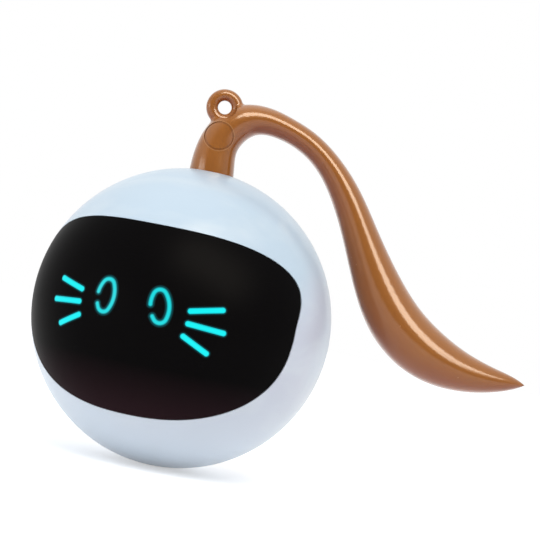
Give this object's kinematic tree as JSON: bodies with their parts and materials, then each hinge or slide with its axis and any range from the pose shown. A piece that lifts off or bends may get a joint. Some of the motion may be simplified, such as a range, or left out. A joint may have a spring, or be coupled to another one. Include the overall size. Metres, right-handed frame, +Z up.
{
  "type": "self-rolling cat ball",
  "caption": "Motor-driven pet ball with a lit cat-face visor and a curved tail that plugs into its top and swivels; an off-centre weight inside makes it roll.",
  "frame": {"origin": "The spot under the ball's centre on which the ball rests, 35 mm below that centre.", "axes": "+X to the viewer's right as one looks at the face, the way the tail reaches; +Y from the face to the back; +Z up through the tail's neck."},
  "size_m": [0.1131, 0.0701, 0.0897],
  "materials": {
    "front_shell": null,
    "rear_shell": null,
    "visor": null,
    "eye_light_guides": null,
    "whisker_light_guides": null,
    "light_baffle": null,
    "face_board": null,
    "face_leds": null,
    "face_screws": null,
    "tail": null,
    "chassis_frame": null,
    "gearbox_cover": null,
    "cover_screws": null,
    "drive_motor": null,
    "motor_end_cap": null,
    "motor_terminals": null,
    "motor_shaft": null,
    "motor_pinion": null,
    "compound_gear_1": null,
    "compound_gear_2": null,
    "gear_pins": null,
    "output_gear": null,
    "drive_axle": null,
    "bush_left": null,
    "bush_right": null,
    "weight_carrier": null,
    "eccentric_weight": null,
    "weight_rivets": null,
    "battery_cell": null,
    "battery_pad": null,
    "battery_strap": null,
    "strap_screws": null,
    "main_board": null,
    "board_screws": null,
    "board_chips": null,
    "charge_port_shell": null,
    "charge_port_tongue": null,
    "switch_body": null,
    "switch_plunger": null,
    "power_button": null,
    "shell_screws": null
  },
  "bodies": {
    "ball": {"front_shell": "front_shell", "rear_shell": "rear_shell", "visor": "visor", "eye_light_guides": "eye_light_guides", "whisker_light_guides": "whisker_light_guides", "light_baffle": "light_baffle", "face_board": "face_board", "face_leds": "face_leds", "face_screws": "face_screws", "chassis_frame": "chassis_frame", "gearbox_cover": "gearbox_cover", "cover_screws": "cover_screws", "drive_motor": "drive_motor", "motor_end_cap": "motor_end_cap", "motor_terminals": "motor_terminals", "gear_pins": "gear_pins", "bush_left": "bush_left", "bush_right": "bush_right", "battery_cell": "battery_cell", "battery_pad": "battery_pad", "battery_strap": "battery_strap", "strap_screws": "strap_screws", "main_board": "main_board", "board_screws": "board_screws", "board_chips": "board_chips", "charge_port_shell": "charge_port_shell", "charge_port_tongue": "charge_port_tongue", "switch_body": "switch_body", "shell_screws": "shell_screws"},
    "pendulum": {"drive_axle": "drive_axle", "output_gear": "output_gear", "weight_carrier": "weight_carrier", "eccentric_weight": "eccentric_weight", "weight_rivets": "weight_rivets"},
    "gear_2": {"compound_gear_2": "compound_gear_2"},
    "gear_1": {"compound_gear_1": "compound_gear_1"},
    "rotor": {"motor_shaft": "motor_shaft", "motor_pinion": "motor_pinion"},
    "tail_body": {"tail": "tail"},
    "button_body": {"power_button": "power_button", "switch_plunger": "switch_plunger"}
  },
  "joints": [
    {"name": "weight_swing", "type": "hinge", "parent": "ball", "child": "pendulum", "pos_m": [0, 0, 0.035], "axis": [1, 0, 0], "continuous": true},
    {"name": "gear_2_turn", "type": "hinge", "parent": "ball", "child": "gear_2", "pos_m": [-0.01, 0.00996, 0.04075], "axis": [1, 0, 0], "continuous": true},
    {"name": "gear_1_turn", "type": "hinge", "parent": "ball", "child": "gear_1", "pos_m": [-0.01, 0.00996, 0.02925], "axis": [1, 0, 0], "continuous": true},
    {"name": "rotor_turn", "type": "hinge", "parent": "ball", "child": "rotor", "pos_m": [-0.015, 0, 0.035], "axis": [1, 0, 0], "continuous": true},
    {"name": "tail_swivel", "type": "hinge", "parent": "ball", "child": "tail_body", "pos_m": [0, 0, 0.065], "axis": [0, 0, 1], "continuous": true},
    {"name": "power_button_press", "type": "slide", "parent": "ball", "child": "button_body", "axis": [0, -1, 0], "range_m": [0, 0.0005], "stiffness_N_per_m": 800, "springref_m": -0.001}
  ],
  "couplings": [
    {"joint": "gear_2_turn", "follows": "weight_swing", "ratio": -3.6},
    {"joint": "gear_1_turn", "follows": "weight_swing", "ratio": 12.96},
    {"joint": "rotor_turn", "follows": "weight_swing", "ratio": -46.656}
  ]
}
